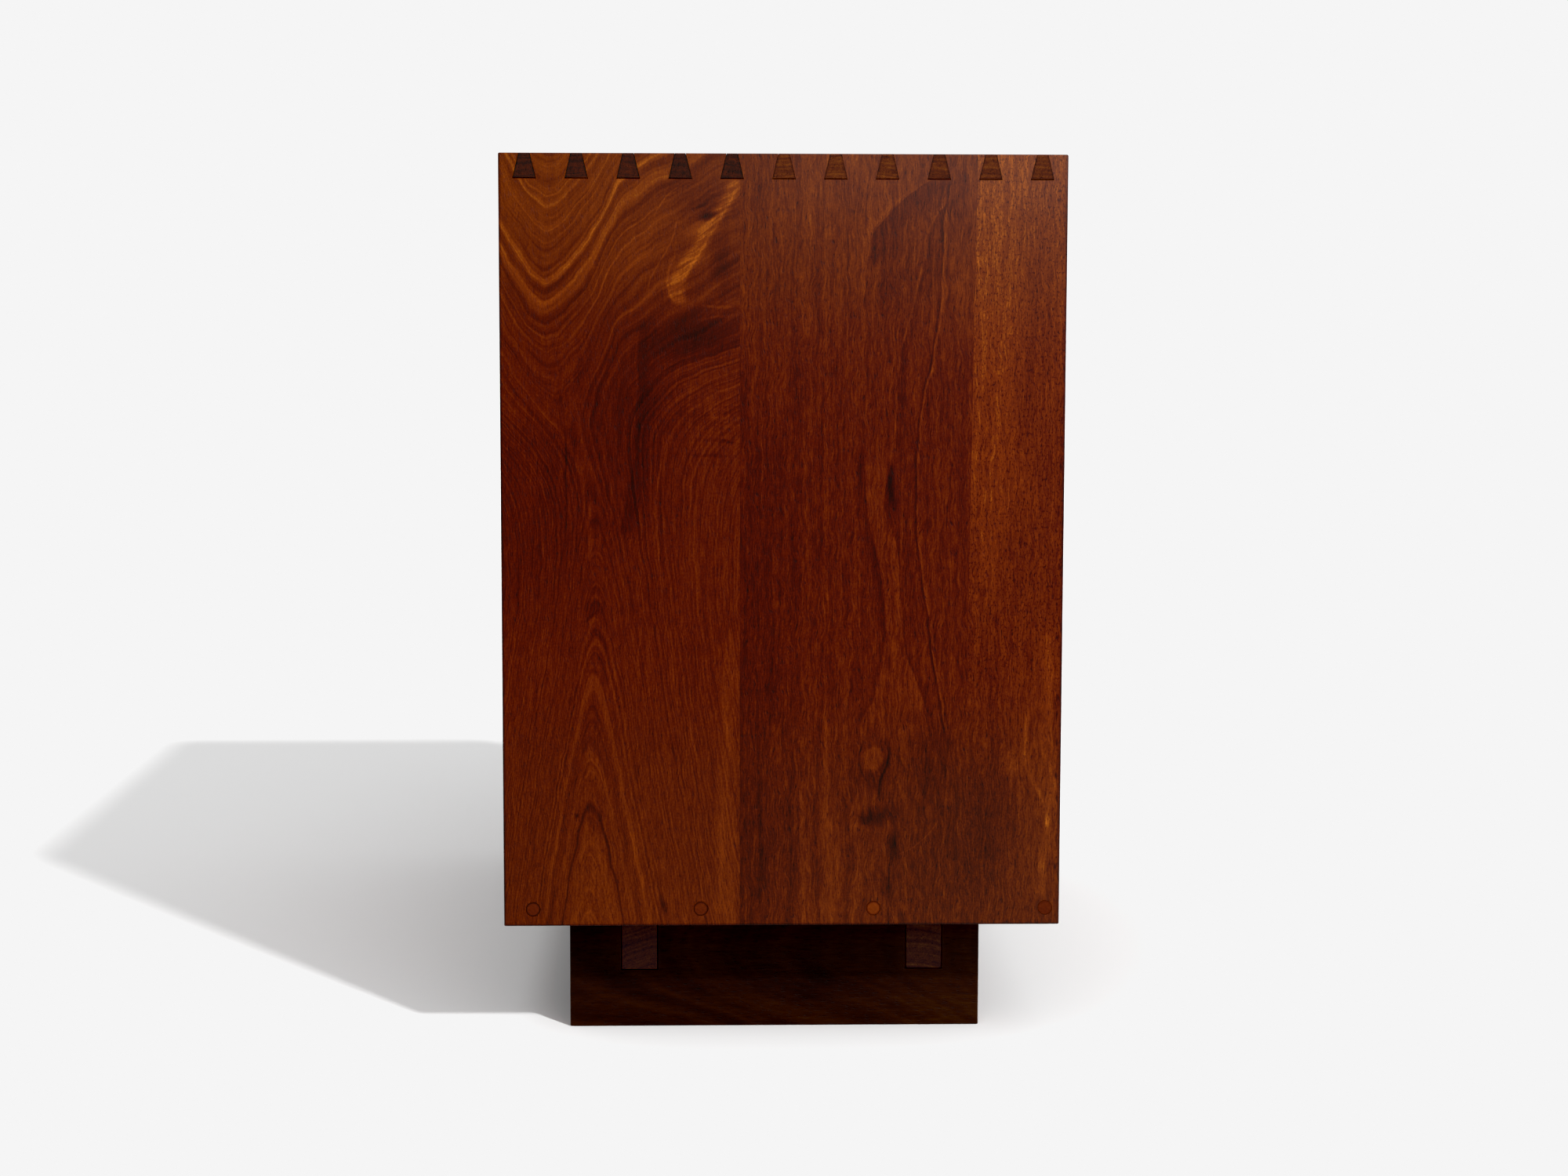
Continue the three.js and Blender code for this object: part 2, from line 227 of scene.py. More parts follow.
class Recipe:
    """A material whose nodes are made by short calls. Lengths inside it are in millimetres."""

    def __init__(self, name):
        self.material = bpy.data.materials.new(name)
        self.material.use_nodes = True
        self.tree = self.material.node_tree
        self.tree.nodes.clear()

    def feed(self, socket, value):
        if isinstance(value, Field):
            self.tree.links.new(value.socket, socket)
        elif isinstance(value, bpy.types.NodeSocket):
            self.tree.links.new(value, socket)
        elif isinstance(value, tuple) and len(value) == 3 and len(socket.default_value) == 4:
            socket.default_value = (*value, 1)
        else:
            socket.default_value = value

    def node(self, kind, settings=None, **inputs):
        made = self.tree.nodes.new(kind)
        for key, value in (settings or {}).items():
            setattr(made, key, value)
        for key, value in inputs.items():
            self.feed(made.inputs[key.replace("_", " ")], value)
        return made

    def math(self, operation, *values):
        made = self.tree.nodes.new("ShaderNodeMath")
        made.operation = operation
        for socket, value in zip(made.inputs, values):
            self.feed(socket, value)
        return Field(self, made.outputs[0])

    def root(self, value):
        return self.math("SQRT", value)

    def size(self, value):
        return self.math("ABSOLUTE", value)

    def above(self, value, level):
        return self.math("GREATER_THAN", value, level)

    def ease(self, value, low, high, start=0.0, end=1.0):
        """From start to end, smoothly, as the value goes from low to high."""
        made = self.tree.nodes.new("ShaderNodeMapRange")
        made.interpolation_type = "SMOOTHSTEP"
        levels = {"Value": value, "From Min": low, "From Max": high, "To Min": start, "To Max": end}
        if low > high:
            levels.update({"From Min": high, "From Max": low, "To Min": end, "To Max": start})
        for key, level in levels.items():
            self.feed(made.inputs[key], level)
        return Field(self, made.outputs["Result"])

    def curve(self, value, points):
        """A smooth curve through (in, out) points, which start at 0 or more."""
        reach = max(point[0] for point in points)
        top = max(point[1] for point in points)
        made = self.node("ShaderNodeFloatCurve", Value=value * (1 / reach))
        knots = made.mapping.curves[0].points
        knots[0].location = (points[0][0] / reach, points[0][1] / top)
        knots[1].location = (points[-1][0] / reach, points[-1][1] / top)
        for place, level in points[1:-1]:
            knots.new(place / reach, level / top)
        made.mapping.update()
        return Field(self, made.outputs[0]) * top

    def vector(self, x, y, z):
        made = self.tree.nodes.new("ShaderNodeCombineXYZ")
        for socket, value in zip(made.inputs, (x, y, z)):
            self.feed(socket, value)
        return made.outputs[0]

    def noise(self, *position, detail=1.0, roughness=0.5):
        """Noise along a line or in space, from about -0.5 to 0.5."""
        if len(position) == 1:
            made = self.node("ShaderNodeTexNoise", {"noise_dimensions": "1D"}, W=position[0])
        else:
            point = self.vector(*position)
            made = self.node("ShaderNodeTexNoise", {"noise_dimensions": "3D"}, Vector=point)
        made.inputs["Scale"].default_value = 1
        made.inputs["Detail"].default_value = detail
        made.inputs["Roughness"].default_value = roughness
        return Field(self, made.outputs["Fac"]) - 0.5

    def ramp(self, value, stops):
        made = self.node("ShaderNodeValToRGB", Fac=value)
        elements = made.color_ramp.elements
        while len(elements) < len(stops):
            elements.new(0.5)
        for element, (place, color) in zip(elements, stops):
            element.position = place
            element.color = (*color, 1)
        return made.outputs["Color"]

    def blend(self, first, second, share, mode="MIX"):
        made = self.tree.nodes.new("ShaderNodeMix")
        made.data_type = "RGBA"
        made.blend_type = mode
        self.feed(made.inputs[0], share)
        self.feed(made.inputs[6], first)
        self.feed(made.inputs[7], second)
        return made.outputs[2]

    def place(self):
        """The surface point in the row frame, as fields x, y and z."""
        coordinates = self.tree.nodes.new("ShaderNodeTexCoord")
        split = self.tree.nodes.new("ShaderNodeSeparateXYZ")
        self.tree.links.new(coordinates.outputs["Object"], split.inputs[0])
        return {axis: Field(self, split.outputs[axis.upper()]) * 1000 for axis in "xyz"}

    def facing(self, axis):
        """1 where the surface faces along an axis, either way, and 0 where it faces across it."""
        coordinates = self.tree.nodes.new("ShaderNodeTexCoord")
        split = self.tree.nodes.new("ShaderNodeSeparateXYZ")
        self.tree.links.new(coordinates.outputs["Normal"], split.inputs[0])
        return self.ease(self.size(Field(self, split.outputs[axis.upper()])), 0.6, 0.8)

    def spot(self, across, down, center, radii, turn=0.0):
        """A soft oval, 1 in its middle."""
        flat = self.vector(across, down, 0.0)
        made = self.node("ShaderNodeMapping", {"vector_type": "TEXTURE"}, Vector=flat)
        made.inputs["Location"].default_value = (*center, 0)
        made.inputs["Rotation"].default_value = (0, 0, math.radians(turn))
        made.inputs["Scale"].default_value = (*radii, 1)
        length = self.node("ShaderNodeVectorMath", {"operation": "LENGTH"})
        self.feed(length.inputs[0], made.outputs[0])
        return self.ease(Field(self, length.outputs["Value"]), 1, 0)

    def mark(self, across, down, line, before, after):
        """A streak down the grain along a line of (down, across) points.

        It fades out by one width before the line and another after it, and at both ends."""
        first, last = line[0][0], line[-1][0]
        offset = across - self.curve(down, line)
        mask = self.ease(offset, -before, 0) * self.ease(offset, after, 0)
        return mask * self.ease(down, first - 6, first + 6) * self.ease(down, last + 6, last - 6)

    def finish(self, color, roughness, height, bump, specular, metallic=0.0):
        relief = self.node("ShaderNodeBump", Height=height, Strength=1.0, Distance=bump)
        inputs = {"Base_Color": color, "Roughness": roughness, "Metallic": metallic}
        shader = self.node("ShaderNodeBsdfPrincipled", **inputs)
        shader.inputs["Specular IOR Level"].default_value = specular
        self.tree.links.new(relief.outputs[0], shader.inputs["Normal"])
        self.node("ShaderNodeOutputMaterial", Surface=shader.outputs[0])
        return self.material


def srgb(red, green, blue):
    """A colour given in the usual 0 to 255 steps, as linear light."""

    def linear(level):
        level /= 255
        return level / 12.92 if level <= 0.04045 else ((level + 0.055) / 1.055) ** 2.4

    return (linear(red), linear(green), linear(blue))


def scaled(stops, factor):
    """A ramp with the colour at every stop made brighter or darker by a factor."""
    return [(place, tuple(level * factor for level in color)) for place, color in stops]


def mixed(first, second, share):
    """A ramp between two ramps that have their stops at the same places."""
    return [
        (place, tuple(a + (b - a) * share for a, b in zip(color, other)))
        for (place, color), (_, other) in zip(first, second)
    ]


# ---------------------------------------------------------------- wood

RED_WALNUT = scaled(
    [
        (0.08, srgb(18, 6, 4)),
        (0.20, srgb(40, 8, 4)),
        (0.33, srgb(66, 11, 3)),
        (0.42, srgb(84, 19, 3)),
        (0.50, srgb(100, 33, 4)),
        (0.60, srgb(120, 45, 6)),
        (0.75, srgb(156, 84, 14)),
        (0.95, srgb(200, 134, 46)),
    ],
    0.78,
)
BROWN_WALNUT = scaled(
    [
        (0.08, srgb(20, 10, 6)),
        (0.20, srgb(40, 17, 6)),
        (0.33, srgb(66, 25, 6)),
        (0.42, srgb(84, 33, 6)),
        (0.50, srgb(100, 43, 7)),
        (0.60, srgb(120, 57, 10)),
        (0.75, srgb(150, 86, 20)),
        (0.95, srgb(190, 128, 48)),
    ],
    0.78,
)
WALNUT = mixed(RED_WALNUT, BROWN_WALNUT, 0.45)
# painted shade: the base's walnut darkened to 0.13 of the case's, as it looks in the shade under the case
SHADED_BASE_WALNUT = scaled(WALNUT, 0.13)
PALE = [
    (0.00, srgb(104, 66, 34)),
    (0.30, srgb(148, 104, 60)),
    (0.60, srgb(176, 132, 82)),
    (1.00, srgb(202, 164, 112)),
]
GLOSS = 0.08
BASE_GLOSS = 0.09
VENEER_LEAVES = 4
PIN_COUNT = 11
PIN_NARROW = 9.6  # at the top of the board
PIN_WIDE = 20.4
CASE_END_SHADE = (1.0, 1.5, 2.2)  # greyer than the face of the same board
BASE_END_SHADE = (6.2, 14.0, 60.0)  # the rails' worn end grain against the base's faces, lifted back from the painted shade in their colour
PAINTED_SHEEN = 0.0165  # painted sheen: how much grey haze is added at the top front corner of the end panel
PEG_TONES = {"1": 0.43, "2": 0.55, "3": 0.44, "4": 0.42}  # from the front peg to the rear one
PEG_RIMS = {"1": 0.03, "2": 0.16, "3": 0.16, "4": 0.18}


def pores(recipe, across, deep, along):
    """Open pores: fine short dashes along the grain."""
    return recipe.ease(recipe.noise(across * 0.85, deep * 0.85, along * 0.15, detail=1), 0.08, 0.24)


def fibres(recipe, across, deep, along):
    """Streaks of fibre along the grain, from fine to broad."""
    fine = recipe.noise(across * 0.62, deep * 0.62, along * 0.080, detail=2, roughness=0.65)
    broad = recipe.noise(across * 0.22, deep * 0.22, along * 0.012, detail=2, roughness=0.6)
    return fine * 0.6 + broad * 0.4


def pin_outlines(recipe, place):
    """Dark glue lines round each pin of the top board: less tone along its slanted sides and its foot."""
    low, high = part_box("top_board")
    pitch = (high.y - low.y) * 1000 / PIN_COUNT
    aside = recipe.math("PINGPONG", place["y"] - low.y * 1000, pitch / 2)
    offset = recipe.size(aside - pitch / 2)
    rise = place["z"] - low.z * 1000
    half = PIN_WIDE / 2 - rise * ((PIN_WIDE - PIN_NARROW) / 2 / ((high.z - low.z) * 1000))
    sides = recipe.ease(half - offset, 1.8, 0.3)
    return recipe.math("MAXIMUM", sides, recipe.ease(rise, 1.8, 0.3)) * recipe.facing("x") * -0.10


def painted_base_light(recipe, place):
    """Painted light on the base's faces: lighter towards the foot, below the overhang's shade, and towards
    the front, where the key light falls, less a darker oval.
    """
    foot = recipe.ease(place["z"], 40, 18, 0, 0.06)
    front = recipe.ease(place["y"], -70, -150, 0, 0.10)
    dark_oval = recipe.spot(place["y"], place["z"], (-34, 42), (34, 32)) * 0.12
    return foot + front - dark_oval


def wood(name, directions, boards, ramp, seams=(), end_shade=(1.0, 1.0, 1.0), gloss=GLOSS, mark=None):
    """Solid wood as it grows: rings round a pith that wanders along the grain, with pores along it.

    Each board of a glued-up panel has its own pith, tone and seed, and begins at its seam."""
    grain, across, deep = directions
    recipe = Recipe(name)
    place = recipe.place()
    along, wide, thick = place[grain], place[across], place[deep]
    steps = [recipe.above(wide, seam) for seam in seams]

    def by_board(key):
        values = [board[key] for board in boards]
        total = values[0]
        for step, before, after in zip(steps, values, values[1:]):
            total = step * (after - before) + total
        return total

    seed = by_board("seed")
    wander = recipe.noise(along * 0.0020 + seed) * 50
    depth = by_board("depth") + along * by_board("slope") + thick
    depth = depth + recipe.noise(along * 0.0020 + seed * 1.9) * 30
    aside = wide - by_board("pith") - wander
    radius = recipe.root(aside * aside + depth * depth)
    radius = radius + recipe.noise(wide * 0.020 + seed, thick * 0.02, along * 0.0040, detail=2) * 9
    bands = recipe.noise(radius * 0.13 + seed * 3.1, detail=2, roughness=0.6)
    lines = recipe.noise(radius * 0.42 + seed * 4.7, detail=2, roughness=0.6)
    cloud = recipe.noise(wide * 0.008 + seed, thick * 0.008, along * 0.003, detail=1)
    streaks = fibres(recipe, wide + seed, thick, along)
    holes = pores(recipe, wide + seed, thick, along)
    tone = by_board("tone") + bands * 0.28 + lines * 0.24 + streaks * 0.52 + cloud * 0.18 - holes * 0.13
    ends = recipe.facing(grain)
    tone = tone + ends * by_board("end")
    if mark:
        tone = tone + mark(recipe, place)
    color = recipe.blend(recipe.ramp(tone, ramp), end_shade, ends, "MULTIPLY")
    roughness = 0.42 + holes * 0.18 - bands * 0.08 + ends * 0.12
    return recipe.finish(color, roughness, streaks * 0.3 - holes, 0.00012, gloss)


def board(draw, node, pith, tone=0.45, end=-0.08):
    """Where a board's pith lies and how it rises along the grain, and the tones of its face and ends."""
    low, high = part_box(node)
    grain = GRAIN[kind_of_board(node)][0]
    slope = draw.choice((-1, 1)) * draw.uniform(0.06, 0.12)
    rise = slope * getattr(low + high, grain) * 500
    seed = draw.uniform(0, 50)
    return {"seed": seed, "pith": pith, "slope": slope, "depth": 68 - rise, "tone": tone, "end": end}


# ---------------------------------------------------------------- the figured end panel
# Places on it are in millimetres: across from the rear edge, and down from the top.

REAR_SEAM = 215
FRONT_SEAM = 427
CROSSING = 275  # how far down the rear board its arcs turn into arches


class Figure:
    """The tone of one board of the panel, built up from marks drawn on it."""

    def __init__(self, recipe, across, down, columns, edges):
        """Start from a tone that changes down each column of the board, and eases from one to the next."""
        self.recipe = recipe
        self.across = across
        self.down = down
        self.tone = recipe.curve(down, columns[0])
        for column, (start, end) in zip(columns[1:], edges):
            level = recipe.curve(down, column)
            self.tone = self.tone + (level - self.tone) * recipe.ease(across, start, end)

    def add(self, strength, mask):
        self.tone = self.tone + mask * strength

    def streak(self, strength, line, before, after):
        self.add(strength, self.recipe.mark(self.across, self.down, line, before, after))

    def oval(self, strength, center, radii, turn=0.0):
        self.add(strength, self.recipe.spot(self.across, self.down, center, radii, turn))

    def band(self, strength, rings, ring, half_width, core, where):
        """A stripe along one growth ring, full within its core and gone at its half width."""
        self.add(strength, self.recipe.ease(self.recipe.size(rings - ring), half_width, core) * where)


def rear_rings(recipe, across, down):
    """Growth rings that bowl at the top of the rear board and arch at its foot, with a saddle between."""
    heart = recipe.curve(down, [(0, 43), (180, 43), (330, 84), (590, 79), (700, 78)])
    aside = across - heart
    lean = recipe.ease(aside, 10, -10, 1, 1.4)
    near = [(0, 0), (10, 4), (20, 12), (40, 36), (58, 68)]
    far = [(68, 84), (92, 103), (130, 127), (200, 165)]
    bowl = recipe.curve(recipe.size(aside), near + far)
    point = recipe.ease(down, 180, 330, 26, 13)
    arch = (recipe.root(aside * aside + point * point) - point) * recipe.ease(down, 180, 420, 2.6, 4.9)
    spread = (bowl + (arch - bowl) * recipe.ease(down, 150, 300)) * lean
    fall = down - CROSSING
    rings = CROSSING - recipe.root(fall * fall + 60**2) + spread
    return rings + recipe.noise(across * 0.035, down * 0.012, 3.0, detail=2) * 12


def draw_arcs(figure, rings, bands):
    """Light and dark arcs at the top of the rear board."""
    recipe = figure.recipe
    top = recipe.ease(figure.down, 200, 120)
    figure.add(0.06, recipe.ease(bands, 0.04, 0.18) * top * recipe.ease(figure.across, 160, 110))
    figure.band(0.09, rings, 126, 5, 0, top)
    figure.band(-0.05, rings, 138, 6, 1, top)
    figure.band(0.06, rings, 104, 4, 0, top)


def draw_flame(figure, lines):
    """A golden band that curls down from the seam, among finer light and dark marks."""
    recipe = figure.recipe
    figure.oval(-0.08, (180, 40), (48, 30))
    figure.oval(-0.11, (198, 96), (16, 40))
    spine = [(24, 213), (51, 199), (74, 184), (94, 171), (108, 162), (120, 159), (133, 162)]
    body = recipe.ease(recipe.mark(figure.across, figure.down, spine, 14, 11), 0.0, 0.9)
    figure.add(0.16, body * (1 + lines * 2.2))
    figure.streak(0.06, [(28, 213), (52, 201), (76, 186), (98, 172), (112, 166)], 2.5, 2)
    figure.streak(0.10, [(92, 157), (106, 151), (120, 151), (132, 157)], 2.5, 2.5)
    figure.oval(0.14, (180, 66), (22, 10), -35)
    figure.streak(0.10, [(26, 164), (42, 146), (54, 140)], 1.5, 1.5)
    figure.streak(0.09, [(60, 159), (85, 150), (99, 141), (118, 133)], 1.5, 1.5)
    figure.oval(-0.30, (187, 55), (13, 5), -12)
    figure.oval(-0.14, (180, 47), (12, 3), -30)
    figure.oval(0.10, (194, 136), (24, 2.5), 4)
    figure.oval(0.09, (194, 146), (24, 2.5), -6)


def draw_wedge(figure):
    """The dark wedge under the flame, with short cross figure below it."""
    figure.oval(-0.17, (174, 161), (62, 33), -14)
    figure.streak(-0.07, [(150, 127), (190, 125), (214, 124), (255, 122), (298, 116), (340, 107)], 3, 24)
    waves = figure.recipe.noise(figure.across * 0.05, figure.down * 0.2, 1.5, detail=2)
    figure.add(0.28, waves * figure.recipe.spot(figure.across, figure.down, (192, 236), (42, 52)))
    figure.oval(-0.09, (200, 255), (18, 3), 8)
    figure.oval(-0.08, (186, 269), (32, 3), 3)


def draw_waist(figure):
    """Short streaks where the arcs turn into arches."""
    figure.streak(-0.13, [(250, 57), (262, 58), (298, 59), (335, 58)], 1.6, 1.6)
    figure.streak(0.09, [(250, 152), (285, 142), (325, 141), (390, 145)], 3, 1)
    figure.streak(-0.08, [(290, 144), (325, 144), (370, 146)], 1, 2)
    figure.streak(0.08, [(310, 80), (335, 80), (362, 80)], 3, 3)
    figure.oval(-0.10, (82, 415), (15, 2.5), -39)


def draw_arches(figure, rings):
    """Broad pointed arches at the foot of the rear board, with two small dark marks."""
    low = figure.recipe.ease(figure.down, 430, 470)
    figure.band(0.07, rings, 64, 13, 4, low)
    figure.band(-0.05, rings, 34, 14, 4, low)
    figure.band(0.05, rings, -4, 16, 6, low)
    figure.band(-0.10, rings, -44, 8, 2, low)
    figure.add(0.05, figure.recipe.ease(rings, -56, -70) * low)
    figure.oval(-0.20, (67, 597), (3, 3.5))
    figure.oval(-0.14, (146, 682), (6, 12), -20)
    figure.streak(0.07, [(430, 206), (557, 199), (700, 199)], 8, 22)


def rear_board(recipe, across, down):
    """U-shaped arcs at the top and pointed arches below, with a golden flame by the seam."""
    rings = rear_rings(recipe, across, down)
    bands = recipe.noise(rings * 0.095 + 4.0, detail=2, roughness=0.6)
    lines = recipe.noise(rings * 0.26 + 9.0, across * 0.02, down * 0.02, detail=2, roughness=0.6)
    columns = [
        [(0, 0.52), (74, 0.50), (145, 0.43), (216, 0.40), (290, 0.36), (430, 0.40), (700, 0.42)],
        [(0, 0.52), (80, 0.50), (145, 0.40), (216, 0.34), (290, 0.37), (430, 0.41), (700, 0.45)],
        [(0, 0.50), (80, 0.46), (145, 0.42), (216, 0.43), (430, 0.42), (500, 0.42), (700, 0.45)],
    ]
    figure = Figure(recipe, across, down, columns, [(50, 120), (120, 190)])
    figure.add(0.26, bands)
    figure.add(1.0, lines * recipe.ease(down, 150, 330, 0.24, 0.15))
    draw_arcs(figure, rings, bands)
    draw_flame(figure, lines)
    draw_wedge(figure)
    draw_waist(figure)
    draw_arches(figure, rings)
    return figure.tone


def draw_crook(figure):
    """The dark crook at the top of the middle board."""
    figure.streak(-0.11, [(24, 384), (39, 363), (59, 344), (70, 335), (85, 332), (96, 333)], 1.5, 44)
    figure.oval(-0.04, (350, 118), (26, 40), 4)
    figure.streak(0.06, [(36, 362), (56, 343), (68, 333), (84, 329), (120, 328)], 8, 1)
    figure.oval(-0.05, (386, 100), (18, 44), 12)


def draw_long_lines(figure):
    """Two light lines with dark sides, which run down the front part of the middle board."""
    ridge = [(43, 398), (70, 383), (92, 379), (130, 371), (157, 364), (179, 358), (214, 355), (262, 354)]
    figure.streak(0.06, ridge, 1.4, 1.4)
    figure.streak(-0.08, [(down, across + 2) for down, across in ridge], 1, 9)
    outer = [(26, 403), (59, 397), (137, 394), (188, 386), (214, 380), (250, 375), (311, 374), (351, 376)]
    outer += [(445, 389), (520, 401)]
    figure.streak(-0.14, outer, 2.4, 1.2)
    figure.streak(0.08, [(down, across + 1.5) for down, across in outer], 0.8, 2)
    figure.streak(-0.07, [(472, 396), (517, 404), (561, 403), (600, 398)], 1.5, 1.5)


def draw_tongue(figure):
    """A lighter tongue between the long lines, which widens to a drop round the knot."""
    recipe, across, down = figure.recipe, figure.across, figure.down
    rear_line = [(0, 330), (250, 328), (318, 330), (351, 337), (382, 343), (445, 345), (482, 338)]
    rear_line += [(520, 325), (600, 322)]
    front_line = [(0, 352), (273, 352), (300, 346), (322, 346), (345, 355), (400, 361), (436, 363)]
    front_line += [(475, 376), (510, 386), (545, 388), (572, 383), (600, 368)]
    past_rear = across - recipe.curve(down, rear_line)
    past_front = across - recipe.curve(down, front_line)
    inside = recipe.ease(past_rear, -0.8, 0.8) * recipe.ease(past_front, 0.8, -0.8)
    start = recipe.ease(down, 225, 290)
    figure.add(0.05, inside * start * recipe.ease(down, 540, 470))
    length = start * recipe.ease(down, 600, 560)
    figure.add(-0.06, recipe.ease(past_rear, -12, 0) * recipe.ease(past_rear, 1, -1) * length)
    figure.add(-0.07, recipe.ease(past_front, 9, 0) * recipe.ease(past_front, -1, 1) * length)
    figure.oval(-0.24, (352, 300), (6, 36), -3)


def draw_knot(figure):
    """An orange knot in a dark ring, with dark smudges under it."""
    figure.oval(-0.09, (338, 552), (26, 34))
    knot = figure.recipe.spot(figure.across, figure.down, (337, 546), (14, 18), 8)
    figure.add(0.15, figure.recipe.ease(knot, 0.05, 0.5))
    figure.streak(-0.20, [(532, 350), (545, 351), (556, 348), (568, 343), (580, 342)], 2, 2.5)
    figure.streak(-0.12, [(530, 327), (542, 324), (556, 326), (566, 331)], 1.5, 1.5)
    figure.oval(-0.15, (342, 597), (29, 13), -4)
    figure.oval(-0.08, (330, 602), (14, 9), 20)
    figure.oval(-0.16, (354, 628), (9, 26), 8)
    figure.oval(-0.10, (350, 660), (8, 26), 8)
    figure.streak(0.08, [(600, 397), (612, 390), (622, 380), (630, 368), (634, 360)], 1.4, 1.4)
    figure.streak(-0.09, [(645, 352), (700, 351)], 1.5, 1.5)


def draw_foot_stripes(figure):
    """Light and dark stripes along the grain, low down beside the rear seam."""
    stripes = {232: -0.07, 246: 0.04, 258: -0.06, 271: 0.04, 283: -0.07, 311: -0.06, 320: 0.03}
    for across, strength in stripes.items():
        figure.streak(strength, [(575, across), (640, across + 2), (700, across + 3)], 4, 4)
    figure.streak(0.03, [(540, 294), (628, 296), (700, 301)], 9, 12)


def middle_board(recipe, across, down):
    """Straight grain beside the rear seam, and long lines round a knot towards the front."""
    sway = down - 304
    lines = across - recipe.ease(across, 290, 350) * sway * sway * 0.00065
    columns = [
        [(0, 0.47), (100, 0.46), (216, 0.395), (300, 0.36), (500, 0.35), (700, 0.35)],
        [(0, 0.52), (80, 0.48), (216, 0.42), (430, 0.41), (570, 0.43), (700, 0.45)],
        [(0, 0.50), (100, 0.48), (216, 0.43), (430, 0.42), (500, 0.42), (570, 0.38), (700, 0.40)],
    ]
    figure = Figure(recipe, across, down, columns, [(220, 290), (310, 400)])
    figure.add(0.13, recipe.noise(lines * 0.10 + 7.0, detail=3, roughness=0.6))
    draw_crook(figure)
    draw_long_lines(figure)
    draw_tongue(figure)
    draw_knot(figure)
    draw_foot_stripes(figure)
    return figure.tone


def front_board(recipe, across, down):
    """Lighter, straight and open-grained, with a swirl low down and small dark flecks along the edge."""
    columns = [
        [(0, 0.63), (145, 0.59), (290, 0.55), (430, 0.47), (500, 0.45), (572, 0.40), (700, 0.42)],
        [(0, 0.61), (145, 0.52), (290, 0.49), (430, 0.48), (600, 0.47), (700, 0.44)],
    ]
    figure = Figure(recipe, across, down, columns, [(445, 480)])
    slope = across + down * 0.10
    figure.add(0.12, recipe.noise(slope * 0.09 + 11.0, detail=3, roughness=0.6))
    specks = recipe.ease(recipe.noise(across * 0.62, down * 0.34, 5.0, detail=1), 0.05, 0.20)
    figure.add(-1.0, specks * recipe.ease(down, 420, 520, 0.17, 0.06))
    figure.oval(-0.04, (446, 612), (50, 80), 10)
    figure.oval(0.10, (463, 548), (16, 20))
    figure.streak(0.10, [(500, 477), (530, 475), (556, 478), (574, 486), (590, 493), (610, 496)], 3, 5)
    figure.streak(-0.08, [(480, 470), (530, 469), (560, 472), (580, 480)], 2, 2)
    figure.streak(0.07, [(430, 494), (500, 496), (597, 498), (672, 492)], 11, 8)
    for fleck in (278, 321, 370, 433, 489, 505, 530, 561, 583, 645):
        figure.oval(-0.22, (504, fleck), (2, 5))
    for pit in ((501, 32), (499, 40)):
        figure.oval(-0.30, pit, (2.2, 2.2))
    return figure.tone


def panel_tone(recipe, across, down, deep):
    """The tone of the three boards, each beginning at its seam, with fibres and pores over them."""
    wobble = recipe.noise(across * 0.03, down * 0.03, deep * 0.03, detail=2) * 6
    drift = recipe.noise(across * 0.03, down * 0.03, deep * 0.03 + 9.0, detail=2) * 8
    warped = across + wobble
    lowered = down + drift
    tone = rear_board(recipe, warped, lowered)
    past_rear_seam = recipe.above(across, REAR_SEAM)
    tone = tone + (middle_board(recipe, warped, lowered) - tone) * past_rear_seam
    past_front_seam = recipe.above(across + down * 0.012, FRONT_SEAM)
    tone = tone + (front_board(recipe, warped, lowered) - tone) * past_front_seam
    curl = recipe.noise(across * 0.06, down * 0.035, deep * 0.05, detail=1) * 9
    holes = pores(recipe, across + curl, deep, down)
    streaks = fibres(recipe, across + curl, deep, down)
    among_arcs = recipe.ease(down, 260, 120) * recipe.ease(across, REAR_SEAM + 1, REAR_SEAM - 1)
    openness = recipe.ease(across, REAR_SEAM - 1, REAR_SEAM + 1, 0.65, 1.0) * (1 - among_arcs * 0.5)
    grit = recipe.noise(across * 0.7, down * 0.5, deep * 0.7, detail=1)
    tone = tone + (streaks * 0.80 - holes * 0.17) * openness + grit * 0.18
    return tone, holes, streaks


